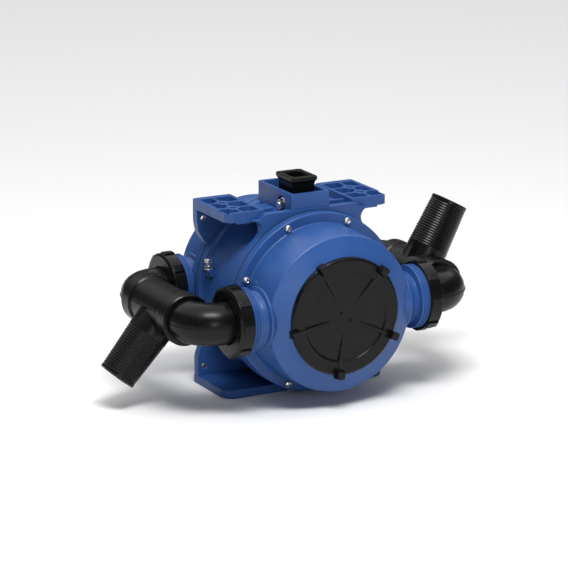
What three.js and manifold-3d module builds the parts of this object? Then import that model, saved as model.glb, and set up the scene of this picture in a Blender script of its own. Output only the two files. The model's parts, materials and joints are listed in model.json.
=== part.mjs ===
// Hand-operated twin-diaphragm pump.
// Millimetres, +Z up, +X to the right, +Y to the rear. The origin is the centre of the base underside.
// A rocking lever drives one rod, which carries a diaphragm in a chamber on each side of a hollow housing.
import * as THREE from "three";
import { mergeVertices } from "three/addons/utils/BufferGeometryUtils.js";
import Module from "manifold-3d";

const wasm = await Module();
wasm.setup();

// ---------------------------------------------------------------- driving dimensions
const GAP = 0.3; // clearance between touching pieces
const AXIS_Z = 127; // height of the rod, the ports and the lids
const ROUND = 28; // sides of a large circle
const TUBE = 14; // sides of a pipe or a port
const SMALL = 8; // sides of a fastener

const HOUSING_HALF = 51.7; // from the middle plane to each clamping face
const PLATE_T = 11.7; // thickness of each clamping plate
const DRUM_R = 117;
const DRUM_BORE_R = 109;
const FLANGE_R = 122.6; // clamping plates and chamber flanges
const OPENING_R = 100; // free opening at a diaphragm
const TOP_Z = 256.5; // top of the ribbed mounting pads
const BASE_T = 11;
const BASE_HALF = 121.8;
const WEB_HALF = 121.2;
const WEB_Y = [47, 58.5];

const PAD_X = [66, 121.2]; // a ribbed pad on the right, mirrored on the left
const PAD_Y = [-42, 58.5];
const PAD_Z = 243;
const BOX_HALF = 28.6; // tower around the lever
const BOX_Y = [-49, 48];
const BOX_TOP = 273.5;
const BOX_WALL = 4.6;

const PIVOT_Y = -19; // fulcrum of the lever, and the drive block on the rod
const PIVOT_Z = 254.5;
const PIN_R = 4;
const SOCKET_Y = -8.7; // middle of the lever socket

const RIM_T = 2.4; // diaphragm rim between the clamping faces
const FLANGE_IN = HOUSING_HALF + RIM_T + 2 * GAP;
const FLANGE_FACE = 68;
const CHAMBER_RIM = 133; // where the side wall turns into the sloping front
const MOUTH_FACE = 142.5; // flat ring under the lid
const MOUTH_R = 68;
const LID_R = 79.5;
const LID_FACE = 147.5;
const LUGS = 5;
const LUG_TOP = 157;
const FIRST_LUG = -98; // degrees from +X towards +Z, seen from the front

const SCREWS = 8;
const SCREW_CIRCLE_R = 115.5;
const SCREW_R = 2.9;

const PORT_Y = 98; // distance of each port from the middle plane
const PORT_R = 34;
const THREAD_R = 43;
const PORT_END = 143;
const SEAT_X = [106, 110]; // wall that the valve flaps close on
const UNION_R = 46.6;
const UNION_X = [132, 151.5];
const ELBOW_R = 28.3;
const ELBOW_BORE_R = 23.5;
const BEND_R = 30;
const TEE_X = 191.5;
const TEE_HALF = 66;
const COLLAR_R = 34.6;
const TAIL_R = 26; // at the mouth
const TAIL_ROOT_R = 28.5;
const TAIL_END = 111;
const INLET_ANGLE = 41; // inlet tail, outwards from straight down
const OUTLET_ANGLE = 29; // outlet tail, outwards from straight up

// ---------------------------------------------------------------- materials
const plastic = (color, roughness) => new THREE.MeshStandardMaterial({ color, roughness, metalness: 0 });
const metal = (color, roughness) => new THREE.MeshStandardMaterial({ color, roughness, metalness: 1 });
const BLUE = plastic(0x3d66ad, 0.45);
const BLACK = plastic(0x1b1c1c, 0.3);
const RUBBER = plastic(0x161616, 0.8);
const STEEL = metal(0xc9ccd0, 0.25);
const ALUMINIUM = metal(0xa9acb0, 0.4);

// ---------------------------------------------------------------- solids
// A manifold solid from a closed geometry, whichever way round its faces run.
function solid(geometry) {
  const bare = geometry.clone();
  bare.deleteAttribute("normal");
  bare.deleteAttribute("uv");
  const merged = mergeVertices(bare, 1e-4);
  const index = merged.index.array;
  const faces = [];
  for (let i = 0; i < index.length; i += 3) {
    const [a, b, c] = index.slice(i, i + 3);
    if (a !== b && b !== c && c !== a) faces.push([a, b, c]);
  }
  const make = (list) =>
    new wasm.Manifold(
      new wasm.Mesh({
        numProp: 3,
        vertProperties: merged.attributes.position.array,
        triVerts: new Uint32Array(list.flat()),
      }),
    );
  const made = make(faces);
  return made.volume() < 0 ? make(faces.map(([a, b, c]) => [a, c, b])) : made;
}

const join = (solids) => solids.reduce((a, b) => a.add(b));
const cut = (body, tools) => tools.reduce((a, b) => a.subtract(b), body);

// A ring or disc turned about the Y axis from [radius, y] corners. It closes on itself, or on the axis.
function turned(profile, sides = ROUND) {
  const onAxis = profile[0][0] === 0;
  const corners = onAxis ? profile : [...profile, profile[0]];
  return new THREE.LatheGeometry(
    corners.map(([r, y]) => new THREE.Vector2(r, y)),
    sides,
  );
}

const rod = (radius, y0, y1, sides = ROUND) =>
  turned([[0, y0], [radius, y0], [radius, y1], [0, y1]], sides);
// A hole that a round piece of the same radius passes through, whatever its number of sides.
const bore = (radius, y0, y1, sides = SMALL) =>
  rod(radius / Math.cos(Math.PI / sides), y0, y1, sides);
const alongX = (geometry) => geometry.rotateZ(-Math.PI / 2);
const alongZ = (geometry) => geometry.rotateX(Math.PI / 2);

function block([x0, x1], [y0, y1], [z0, z1]) {
  const geometry = new THREE.BoxGeometry(x1 - x0, y1 - y0, z1 - z0);
  return geometry.translate((x0 + x1) / 2, (y0 + y1) / 2, (z0 + z1) / 2);
}

// An outline in X and Z, extruded from y0 to y1.
function wall(outline, [y0, y1]) {
  const options = { depth: y1 - y0, bevelEnabled: false, curveSegments: 3 };
  return new THREE.ExtrudeGeometry(outline, options).rotateX(Math.PI / 2).translate(0, y1, 0);
}

// An outline in X and Y, extruded from z0 to z1.
function slab(outline, [z0, z1]) {
  const options = { depth: z1 - z0, bevelEnabled: false, curveSegments: 2 };
  return new THREE.ExtrudeGeometry(outline, options).translate(0, 0, z0);
}

const polygon = (points) => new THREE.Shape(points.map(([x, y]) => new THREE.Vector2(x, y)));
const mirrored = (geometry) => geometry.clone().scale(-1, 1, 1);
const bothSides = (geometry) => [solid(geometry), solid(mirrored(geometry))];
const around = (count, first = 0) =>
  Array.from({ length: count }, (_, i) => first + (i * 2 * Math.PI) / count);

function mesh(name, body, material) {
  const data = body.getMesh();
  const geometry = new THREE.BufferGeometry();
  geometry.setAttribute("position", new THREE.BufferAttribute(data.vertProperties, 3));
  geometry.setIndex(new THREE.BufferAttribute(data.triVerts, 1));
  const made = new THREE.Mesh(geometry, material);
  made.name = name;
  return made;
}

// A rectangle whose two front corners, at the lower y, are rounded.
function frontRounded([x0, x1], [y0, y1], left, right) {
  const shape = new THREE.Shape();
  shape.moveTo(x0 + left, y0);
  shape.lineTo(x1 - right, y0);
  if (right) shape.absarc(x1 - right, y0 + right, right, -Math.PI / 2, 0, false);
  shape.lineTo(x1, y1);
  shape.lineTo(x0, y1);
  if (left) shape.absarc(x0 + left, y0 + left, left, Math.PI, 1.5 * Math.PI, false);
  return shape;
}

// ---------------------------------------------------------------- housing
// Neck above the front clamping plate, narrowed below the pads by a round hollow on each side.
function neckOutline() {
  const hollowX = 88;
  const hollowZ = 232;
  const hollowR = 13;
  const below = Math.PI / 4; // how far the hollow runs past its narrowest place
  const shape = new THREE.Shape();
  shape.moveTo(-68, 252);
  shape.lineTo(-75, hollowZ + hollowR);
  shape.absarc(-hollowX, hollowZ, hollowR, Math.PI / 2, -below, true);
  shape.lineTo(-hollowX, 205);
  shape.lineTo(hollowX, 205);
  shape.absarc(hollowX, hollowZ, hollowR, Math.PI + below, Math.PI / 2, true);
  shape.lineTo(75, hollowZ + hollowR);
  shape.lineTo(68, 252);
  return shape;
}

// Rear mounting plate: wide at the feet and under the pads, with a step down behind the tower.
function webOutline() {
  const half = [
    [WEB_HALF, 0],
    [WEB_HALF, 38],
    [116, 52],
    [99.5, 71],
    [99.5, 183],
    [109, 197],
    [118.8, 212],
    [WEB_HALF, 226],
    [WEB_HALF, TOP_Z],
    [PAD_X[0], TOP_Z],
    [PAD_X[0], 236],
  ];
  return polygon([...half, ...half.map(([x, z]) => [-x, z]).reverse()]);
}

const LOW_RIM_Y = -18; // the outer rim of a pad is lower from here to its front corner
const WING_Z = 240.5; // underside of the thickened front edge of a pad

// One mounting pad: a tray with a long rib, two cross ribs and a ring where they meet.
function pad() {
  const rim = 4.5;
  const ribHalf = 1.7;
  const ribX = 97;
  const ribsY = [-11, 20];
  const floorZ = 247.5;
  const columns = [
    [PAD_X[0] + rim, ribX - ribHalf],
    [ribX + ribHalf, PAD_X[1] - rim],
  ];
  const edges = [PAD_Y[0] + rim - ribHalf, ...ribsY, PAD_Y[1] - rim + ribHalf];
  const pockets = columns.flatMap((x) =>
    edges.slice(1).map((y, i) => solid(block(x, [edges[i] + ribHalf, y - ribHalf], [floorZ, TOP_Z + 1]))),
  );
  const ring = (radius, z0, z1, y) => solid(alongZ(rod(radius, z0, z1, 16)).translate(ribX, y, 0));
  const tray = cut(solid(slab(frontRounded(PAD_X, PAD_Y, 0, 9), [PAD_Z, TOP_Z])), pockets);
  const rings = ribsY.map((y) => ring(9.5, floorZ - 1, TOP_Z, y));
  const holes = ribsY.map((y) => ring(4.5, PAD_Z - 1, TOP_Z + 1, y));
  const lowX = [PAD_X[1] - rim, PAD_X[1] + 1];
  const lowCorner = solid(block(lowX, [PAD_Y[0] - 1, LOW_RIM_Y], [TOP_Z - 1.8, TOP_Z + 1]));
  const wing = solid(block([75, 106], [PAD_Y[0], PAD_Y[0] + 5], [WING_Z, PAD_Z + 1]));
  return cut(join([tray, wing, ...rings]), [...holes, lowCorner]);
}

// Small ledge on the flank of the drum, with a tapered underside.
const LEDGE = { x: [107, 121], y: [14, 30], top: 166, bolt: 116.5 };
function ledge() {
  const { x, y, top } = LEDGE;
  const outline = [[x[0], top], [x[1], top], [x[1], top - 2.5], [x[1] - 5, top - 9], [x[0], top - 11]];
  return wall(polygon(outline), y);
}

// Places of the screws round each flange, in X and Z from the lid axis.
function screwPlaces() {
  const half = Math.PI / SCREWS;
  return around(SCREWS, half).map((a) => [SCREW_CIRCLE_R * Math.cos(a), SCREW_CIRCLE_R * Math.sin(a)]);
}

function mirrorSolid(body) {
  const data = body.getMesh();
  const geometry = new THREE.BufferGeometry();
  geometry.setAttribute("position", new THREE.BufferAttribute(data.vertProperties.slice(), 3));
  geometry.setIndex(new THREE.BufferAttribute(data.triVerts.slice(), 1));
  return solid(geometry.scale(-1, 1, 1));
}

function housing() {
  const face = HOUSING_HALF;
  const turnedBody = turned([
    [OPENING_R, -face],
    [FLANGE_R, -face],
    [FLANGE_R, PLATE_T - face],
    [DRUM_R, PLATE_T - face],
    [DRUM_R, face - PLATE_T],
    [FLANGE_R, face - PLATE_T],
    [FLANGE_R, face],
    [OPENING_R, face],
    [OPENING_R, face - PLATE_T],
    [DRUM_BORE_R, face - PLATE_T],
    [DRUM_BORE_R, PLATE_T - face],
    [OPENING_R, PLATE_T - face],
  ]).translate(0, 0, AXIS_Z);
  const rightPad = pad();
  const middle = [
    block([BOX_HALF - 1, PAD_X[0] + 1], [-face, 30], [238, 246]),
    block([41, PAD_X[0] + 1], [PIVOT_Y - 2, PIVOT_Y + 2], [240, 252]),
    block([BOX_HALF - 1, 66], [-face, -46], [240, 252]),
    block([PAD_X[0] - 0.5, PAD_X[0] + 4], [PAD_Y[0] - 6, PAD_Y[0] + 2], [PAD_Z, 250]),
  ].flatMap(bothSides);
  const blind = solid(rod(DRUM_BORE_R - 2, -face, face).translate(0, 0, AXIS_Z));
  const web = cut(solid(wall(webOutline(), WEB_Y)), [blind]);
  const tower = block([-BOX_HALF, BOX_HALF], BOX_Y, [236, BOX_TOP]);
  const base = slab(frontRounded([-BASE_HALF, BASE_HALF], [-37, 59], 16, 16), [0, BASE_T]);
  const neck = cut(solid(wall(neckOutline(), [-face, PLATE_T - face])), [blind]);
  const body = join([
    ...[turnedBody, tower, base].map(solid),
    ...bothSides(ledge()),
    ...middle,
    neck,
    web,
    rightPad,
    mirrorSolid(rightPad),
  ]);

  const inside = BOX_HALF - BOX_WALL;
  const cavity = block([-inside, inside], [BOX_Y[0] + BOX_WALL, BOX_Y[1] - BOX_WALL], [215, BOX_TOP + 1]);
  const bossR = 13;
  const bosses = [
    alongX(rod(bossR, 20, inside + 1, 24)).translate(0, PIVOT_Y, PIVOT_Z),
    block([20, inside + 1], [PIVOT_Y - bossR, PIVOT_Y + bossR], [238, PIVOT_Z]),
  ].flatMap(bothSides);
  const recessR = 11.5;
  const recesses = [
    alongX(rod(recessR, inside, BOX_HALF + 1, 24)).translate(0, PIVOT_Y, PIVOT_Z),
    block([inside, BOX_HALF + 1], [PIVOT_Y - recessR, PIVOT_Y + recessR], [248, PIVOT_Z]),
  ].flatMap(bothSides);
  const pivotHole = alongX(bore(PIN_R + GAP, -40, 40)).translate(0, PIVOT_Y, PIVOT_Z);
  const screwHoles = screwPlaces().flatMap(([x, z]) =>
    [-1, 1].map((side) =>
      solid(bore(SCREW_R + GAP, side * 38, side * (face + 1), 6).translate(x, 0, AXIS_Z + z)),
    ),
  );
  const webHoles = [24, 230].flatMap((z) => bothSides(rod(4, 40, 65, SMALL).translate(111, 0, z)));
  const chamberSpace = rod(FLANGE_R + 0.8, face, 70).translate(0, 0, AXIS_Z);
  const baseNotch = block([-48, 48], [face, 62], [-1, BASE_T + 1]);
  const ledgeHole = alongZ(bore(3 + GAP, LEDGE.top - 14, LEDGE.top + 1));
  const ledgeHoles = bothSides(ledgeHole.translate(LEDGE.bolt, (LEDGE.y[0] + LEDGE.y[1]) / 2, 0));
  return cut(join([cut(body, [solid(cavity)]), ...bosses]), [
    ...[pivotHole, chamberSpace, baseNotch].map(solid),
    ...recesses,
    ...screwHoles,
    ...webHoles,
    ...ledgeHoles,
  ]);
}

// ---------------------------------------------------------------- chambers and lids
// All pieces on the lid axis are made for the front, with d the distance from the middle plane.
const front = (profile) => profile.map(([r, d]) => [r, -d]);

const SADDLE_R = 42; // thin raised ring where a port leaves the chamber wall

function port() {
  const outside = turned([
    [0, 86],
    [31, 86],
    [SADDLE_R, 103],
    [SADDLE_R, 106],
    [36.5, 107.5],
    [PORT_R, 113],
    [PORT_R, 120],
    [THREAD_R, 121.5],
    [THREAD_R, PORT_END],
    [0, PORT_END],
  ], 16);
  return solid(alongX(outside).translate(0, -PORT_Y, 0));
}

function portBores() {
  return [
    rod(29, 78, SEAT_X[0], TUBE),
    rod(19, 90, 120, TUBE),
    rod(28, SEAT_X[1], PORT_END + 1, TUBE),
  ].map((bore) => alongX(bore).translate(0, -PORT_Y, 0));
}

function chamber() {
  const shell = turned(front([
    [OPENING_R, FLANGE_IN],
    [FLANGE_R, FLANGE_IN],
    [FLANGE_R, FLANGE_FACE],
    [108.5, FLANGE_FACE],
    [106.2, CHAMBER_RIM - 4.5],
    [101.5, CHAMBER_RIM],
    [LID_R + 1.2, MOUTH_FACE],
    [MOUTH_R, MOUTH_FACE],
    [MOUTH_R, CHAMBER_RIM - 4],
    [98.5, CHAMBER_RIM - 11],
  ]));
  const rightPort = port();
  const body = join([solid(shell), rightPort, mirrorSolid(rightPort)]);
  const bores = portBores().flatMap(bothSides);
  const holes = screwPlaces().map(([x, z]) => solid(bore(SCREW_R + GAP, -75, -50, 6).translate(x, 0, z)));
  return cut(body, [...bores, ...holes]);
}

const SEAL_R = [69, 73.5];
const SEAL_D = [MOUTH_FACE + GAP, MOUTH_FACE + 1.9];

// Screwed cap: a sunk centre, a raised rim, a skirt down the mouth and ribs that end in tall lugs.
function lid() {
  const skirtR = MOUTH_R - 0.6;
  const cap = turned(front([
    [0, LID_FACE - 2.5],
    [59, LID_FACE - 2.5],
    [62, LID_FACE],
    [77, LID_FACE],
    [LID_R, LID_FACE - 2],
    [LID_R, MOUTH_FACE + 0.4],
    [SEAL_R[1] + 0.5, MOUTH_FACE + 0.4],
    [SEAL_R[1] + 0.5, SEAL_D[1] + GAP],
    [skirtR, SEAL_D[1] + GAP],
    [skirtR, MOUTH_FACE - 13],
    [61.5, MOUTH_FACE - 13],
    [60, LID_FACE - 7.5],
    [0, LID_FACE - 7.5],
  ]));
  const outward = (geometry, a) => solid(geometry.rotateY(-a));
  const ribs = around(LUGS, THREE.MathUtils.degToRad(FIRST_LUG)).flatMap((a) => [
    outward(block([24, 74], [-LID_FACE - 1, 2.8 - LID_FACE], [-1.8, 1.8]), a),
    outward(block([71, 84], [-LUG_TOP, 2 - LID_FACE], [-5.5, 5.5]), a),
    outward(block([75, 84], [-LID_FACE, -MOUTH_FACE - 1], [-5.5, 5.5]), a),
  ]);
  return join([solid(cap), ...ribs]);
}

// A flat ring about the lid axis, from r0 to r1 and from d0 to d1.
const flatRing = ([r0, r1], [d0, d1]) => turned(front([[r0, d0], [r1, d0], [r1, d1], [r0, d1]]));
const lidSeal = () => solid(flatRing(SEAL_R, SEAL_D));

// ---------------------------------------------------------------- diaphragms and rod
const PLATE_R = 60;
const STUD_R = 5;

function diaphragm() {
  const inner = HOUSING_HALF + GAP;
  const rollFrom = 64;
  const rollTo = 98;
  const rollDepth = 13;
  const steps = 4;
  const roll = Array.from({ length: steps + 1 }, (_, i) => {
    const t = i / steps;
    return [rollFrom + t * (rollTo - rollFrom), inner + rollDepth * Math.sin(Math.PI * t)];
  });
  const dry = [[STUD_R + GAP, inner], ...roll, [FLANGE_R - 0.6, inner]];
  const wet = dry.map(([r, d]) => [r, d + RIM_T]).reverse();
  const holes = screwPlaces().map(([x, z]) => solid(bore(SCREW_R + GAP, -60, -50, 6).translate(x, 0, z)));
  return cut(solid(turned(front([...dry, ...wet]), 20)), holes);
}

// A clamping plate: flat against the rubber at d0, dished towards its edge at d1.
function clampPlate(d0, d1) {
  const hole = STUD_R + GAP;
  const section = [[hole, d0], [PLATE_R, d0], [PLATE_R - 1, (d0 + d1) / 2], [20, d1], [hole, d1]];
  return solid(turned(front(section), 20));
}

const DRY_D = HOUSING_HALF;
const WET_D = FLANGE_IN;
const nutBlank = (cornerR, y0, y1) => rod(cornerR, y0, y1, 6);

function rodNut() {
  return cut(solid(nutBlank(10, -WET_D - 12, -WET_D - 5)), [solid(bore(STUD_R + GAP, -80, -50))]);
}

function connectingRod() {
  const end = WET_D + 13;
  const shoulder = DRY_D - 5;
  const stud = rod(STUD_R, -end, end, 16);
  const shaft = rod(8, -shoulder, shoulder, 16);
  const drive = block([-12, 12], [PIVOT_Y - 10, PIVOT_Y + 10], [-12, 12]);
  const pinHole = alongX(bore(PIN_R + GAP, -20, 20)).translate(0, PIVOT_Y, 0);
  return cut(join([stud, shaft, drive].map(solid)), [solid(pinHole)]);
}

const drivePin = () => solid(alongX(rod(PIN_R, -20, 20, SMALL)).translate(0, PIVOT_Y, 0));

// ---------------------------------------------------------------- lever
// The arm hangs from the fulcrum and ends in a fork, whose slots ride on the drive pin of the rod.
function rockerArm() {
  const reach = PIVOT_Z - AXIS_Z;
  const slotHalf = PIN_R + 2.6;
  const parts = [
    alongX(rod(8.7, -10, 10, 16)),
    block([-8, 8], [-7, 7], [-88, 0]),
    block([-19, 19], [-8, 8], [-98, -84]),
  ].map(solid);
  const tines = bothSides(block([13, 19], [-8, 8], [-reach - 14, -90]));
  const slotWidth = [-PIN_R - GAP, PIN_R + GAP];
  const slots = bothSides(block([12, 20], slotWidth, [-reach - slotHalf, slotHalf - reach]));
  const pinHole = solid(alongX(bore(PIN_R + GAP, -20, 20)));
  return cut(join([...parts, ...tines]), [...slots, pinHole]);
}

// Rectangular socket for the handle, flared at the rim, with a hub on each side for the fulcrum pin.
function leverSocket() {
  const y = SOCKET_Y - PIVOT_Y;
  const section = (halfX, halfY, z) => [[-halfX, -halfY], [halfX, -halfY], [halfX, halfY], [-halfX, halfY]]
    .map(([a, b]) => [a, b + y, z]);
  const body = stacked([
    section(15.5, 20.5, -11),
    section(16.5, 21.5, 20),
    section(17.6, 23, 29),
    section(19.3, 25.6, 32),
    section(19.3, 25.6, 35.8),
    section(18.4, 24.7, 36.8),
  ]);
  const hub = alongX(rod(11, -18.8, 18.8, 20));
  const mouth = block([-11.5, 11.5], [y - 15.5, y + 15.5], [12, 40]);
  const armHub = alongX(bore(9, -10.3, 10.3, 16));
  const armSlot = block([-8.3, 8.3], [-7.3, 7.3], [-14, 0]);
  const pinHole = alongX(bore(PIN_R + GAP, -20, 20));
  return cut(join([body, solid(hub)]), [mouth, armHub, armSlot, pinHole].map(solid));
}

// A closed solid through four-cornered sections, from the lowest to the highest.
function stacked(sections) {
  const geometry = new THREE.BufferGeometry();
  const corners = sections.flat();
  const faces = [[0, 2, 1], [0, 3, 2]];
  for (let s = 0; s + 1 < sections.length; s++)
    for (let i = 0; i < 4; i++) {
      const a = 4 * s + i;
      const b = 4 * s + ((i + 1) % 4);
      faces.push([a, b, b + 4], [a, b + 4, a + 4]);
    }
  const top = corners.length - 4;
  faces.push([top, top + 1, top + 2], [top, top + 2, top + 3]);
  geometry.setAttribute("position", new THREE.Float32BufferAttribute(corners.flat(), 3));
  geometry.setIndex(faces.flat());
  return solid(geometry);
}

function fulcrumPin() {
  const head = alongX(nutBlank(7.5, 24.3, 29));
  return join([solid(alongX(rod(PIN_R, -34, 25, SMALL))), solid(head)]);
}

const fulcrumBore = () => solid(alongX(bore(PIN_R + GAP, -40, -20)));
const fulcrumWasher = () => cut(solid(alongX(rod(9.5, -26, -24.3, 20))), [fulcrumBore()]);
const fulcrumNut = () => cut(solid(alongX(nutBlank(7.5, -32.5, -26.3))), [fulcrumBore()]);

// ---------------------------------------------------------------- fasteners
// Pan-headed screw on the lid axis, through the chamber flange into the housing.
function panScrew() {
  const head = FLANGE_FACE + GAP;
  const section = [[0, head + 3.6], [3.6, head + 3], [5, head], [SCREW_R, head], [SCREW_R, 40], [0, 40]];
  return solid(turned(front(section), SMALL));
}

// Bolt standing on the ledge, with a lock nut and a washer under its head.
function ledgeBolt() {
  const y = (LEDGE.y[0] + LEDGE.y[1]) / 2;
  const seat = LEDGE.top + GAP;
  const shank = alongZ(rod(3, LEDGE.top - 9, seat + 10, 8));
  const washer = alongZ(rod(6.2, seat, seat + 1.4, 16));
  const nut = alongZ(nutBlank(5.8, seat + 1, seat + 5.5));
  const head = alongZ(nutBlank(5.8, seat + 8.5, seat + 15));
  return join([shank, washer, nut, head].map((g) => solid(g.translate(LEDGE.bolt, y, 0))));
}

// ---------------------------------------------------------------- ports and pipework
// These pieces are made for the front right port, about the port axis.
function unionNut() {
  const [x0, x1] = UNION_X;
  const lipX = x1 - 3;
  const lipR = ELBOW_R + 1;
  const inR = THREAD_R + 0.6;
  const section = [[inR, x0], [UNION_R, x0], [UNION_R, x1], [lipR, x1], [lipR, lipX], [inR, lipX]];
  const grip = block([x0 + 1, lipX], [-6, 6], [UNION_R - 2, UNION_R + 2]);
  const grips = around(8).map((a) => solid(grip.clone().rotateX(a)));
  return join([solid(alongX(turned(section, 20))), ...grips]);
}

// A flat ring about the X axis, from r0 to r1 and from x0 to x1.
const portRing = ([r0, r1], [x0, x1]) => alongX(turned([[r0, x0], [r1, x0], [r1, x1], [r0, x1]], TUBE));
const unionSeal = () => solid(portRing([30, 39], [PORT_END + GAP, PORT_END + 1.9]));

function elbow() {
  const start = PORT_END + 2.2;
  const end = 48;
  const bend = TEE_X - BEND_R;
  const corner = PORT_Y - BEND_R;
  const at = (x, y) => new THREE.Vector3(x, -y, 0);
  const path = new THREE.CurvePath();
  path.add(new THREE.LineCurve3(at(start, PORT_Y), at(bend, PORT_Y)));
  path.add(new Arc(at(bend, corner), BEND_R));
  path.add(new THREE.LineCurve3(at(TEE_X, corner), at(TEE_X, end)));
  const section = new THREE.Shape().absarc(0, 0, ELBOW_R, 0, 2 * Math.PI, false);
  section.holes.push(new THREE.Path().absarc(0, 0, ELBOW_BORE_R, 0, 2 * Math.PI, true));
  const tube = new THREE.ExtrudeGeometry(section, { steps: 7, curveSegments: TUBE / 2, extrudePath: path });
  const flange = portRing([ELBOW_BORE_R + 1, 40], [start, start + 2.8]);
  return join([solid(tube), solid(flange.translate(0, -PORT_Y, 0))]);
}

// A quarter turn in the port plane, from the +X direction to the +Y direction.
class Arc extends THREE.Curve {
  constructor(centre, radius) {
    super();
    this.centre = centre;
    this.radius = radius;
  }
  getPoint(t, target = new THREE.Vector3()) {
    const a = (t - 1) * (Math.PI / 2);
    return target.set(Math.cos(a), Math.sin(a), 0).multiplyScalar(this.radius).add(this.centre);
  }
}

// Cross-tube with a collar at each end, and a ribbed hose tail that points down before it is turned.
function tee() {
  const collarIn = 44;
  const cross = turned([
    [0, -TEE_HALF], [COLLAR_R, -TEE_HALF], [COLLAR_R, -collarIn], [32, -collarIn + 3],
    [32, collarIn - 3], [COLLAR_R, collarIn], [COLLAR_R, TEE_HALF], [0, TEE_HALF],
  ], TUBE);
  const tail = turned([
    [0, 0], [TAIL_ROOT_R, 0], [TAIL_ROOT_R, -42], [TAIL_R, -TAIL_END], [0, -TAIL_END],
  ], TUBE);
  const bores = [
    rod(23, -60, 60, TUBE),
    bore(ELBOW_R + 0.4, 46, 70, TUBE),
    bore(ELBOW_R + 0.4, -70, -46, TUBE),
    alongZ(rod(20.5, -TAIL_END - 1, 0, TUBE)),
  ].map(solid);
  return cut(join([solid(cross), solid(alongZ(tail))]), bores);
}

// Rubber flap hanging against the seat at faceX: hinge bar at the top, and a weight that closes it.
const FLAP_HINGE = 24.5;
function flap(faceX) {
  const x = [faceX, faceX + 2.7];
  const disc = alongX(rod(23, ...x, TUBE));
  const bar = rod(1.8, -6, 6).translate(faceX + 2.1, 0, FLAP_HINGE);
  const strap = block(x, [-7, 7], [15, FLAP_HINGE]);
  const weight = alongX(rod(12, x[1] - 1, x[1] + 4, TUBE));
  return join([disc, bar, strap, weight].map(solid));
}

// ---------------------------------------------------------------- assembly
const pump = new THREE.Group();
pump.add(mesh("housing", housing(), BLUE));

function atAxis(...children) {
  const group = new THREE.Group();
  group.position.z = AXIS_Z;
  group.add(...children);
  pump.add(group);
  return group;
}

// Each end is the same set of pieces, turned half round for the rear.
for (const [end, turn] of [["front", 0], ["rear", Math.PI]]) {
  const group = atAxis(
    mesh(end + "_chamber", chamber(), BLUE),
    mesh(end + "_lid", lid(), BLACK),
    mesh(end + "_lid_seal", lidSeal(), RUBBER),
    mesh(end + "_diaphragm", diaphragm(), RUBBER),
    mesh(end + "_outer_plate", clampPlate(WET_D, WET_D + 4.7), ALUMINIUM),
    mesh(end + "_inner_plate", clampPlate(DRY_D, DRY_D - 4.7), ALUMINIUM),
    mesh(end + "_rod_nut", rodNut(), STEEL),
  );
  screwPlaces().forEach(([x, z], i) => {
    const screw = mesh(end + "_screw_" + (i + 1), panScrew(), STEEL);
    screw.position.set(x, 0, z);
    group.add(screw);
  });
  group.rotation.z = turn;
}

// Half turns that carry the front right port to each of the four.
const PORTS = [
  ["front_right", new THREE.Euler(0, 0, 0)],
  ["front_left", new THREE.Euler(0, Math.PI, 0)],
  ["rear_left", new THREE.Euler(0, 0, Math.PI)],
  ["rear_right", new THREE.Euler(Math.PI, 0, 0)],
];
for (const [place, turn] of PORTS) {
  const nut = mesh(place + "_union_nut", unionNut(), BLACK);
  const seal = mesh(place + "_union_seal", unionSeal(), RUBBER);
  nut.position.y = -PORT_Y;
  seal.position.y = -PORT_Y;
  atAxis(nut, seal, mesh(place + "_elbow", elbow(), BLACK)).rotation.copy(turn);
}

// The inlet flaps open into the chambers on the left; the outlet flaps open out of them on the right.
for (const [end, y] of [["front", -PORT_Y], ["rear", PORT_Y]]) {
  const inlet = mesh(end + "_inlet_flap", flap(GAP - SEAT_X[0]), RUBBER);
  const outlet = mesh(end + "_outlet_flap", flap(SEAT_X[1] + GAP), RUBBER);
  inlet.position.y = y;
  outlet.position.y = y;
  atAxis(inlet, outlet);
}

const inletTee = mesh("inlet_tee", tee(), BLACK);
inletTee.position.x = -TEE_X;
inletTee.rotation.y = THREE.MathUtils.degToRad(INLET_ANGLE);
const outletTee = mesh("outlet_tee", tee(), BLACK);
outletTee.position.x = TEE_X;
outletTee.rotation.y = THREE.MathUtils.degToRad(180 + OUTLET_ANGLE);
atAxis(inletTee, outletTee);

atAxis(mesh("connecting_rod", connectingRod(), STEEL), mesh("drive_pin", drivePin(), STEEL));

const lever = new THREE.Group();
lever.position.set(0, PIVOT_Y, PIVOT_Z);
lever.add(
  mesh("lever_socket", leverSocket(), BLACK),
  mesh("rocker_arm", rockerArm(), ALUMINIUM),
  mesh("fulcrum_pin", fulcrumPin(), STEEL),
  mesh("fulcrum_washer", fulcrumWasher(), STEEL),
  mesh("fulcrum_nut", fulcrumNut(), STEEL),
);
pump.add(lever);

pump.add(mesh("right_ledge_bolt", ledgeBolt(), STEEL));
pump.add(mesh("left_ledge_bolt", mirrorSolid(ledgeBolt()), STEEL));

export default pump;
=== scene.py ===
"""Looks of a hand-operated twin-diaphragm pump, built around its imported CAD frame.

Meshes are made in millimetres, in the CAD's own axes (X right, Y to the rear, Z up), and scaled to metres
when they are placed. Each piece is turned, extruded or lofted with rounded edges, then joined and cut by
booleans.
"""

import json
from math import ceil, cos, pi, radians, sin, tan

import bmesh
import bpy
from mathutils import Matrix, Vector


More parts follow.
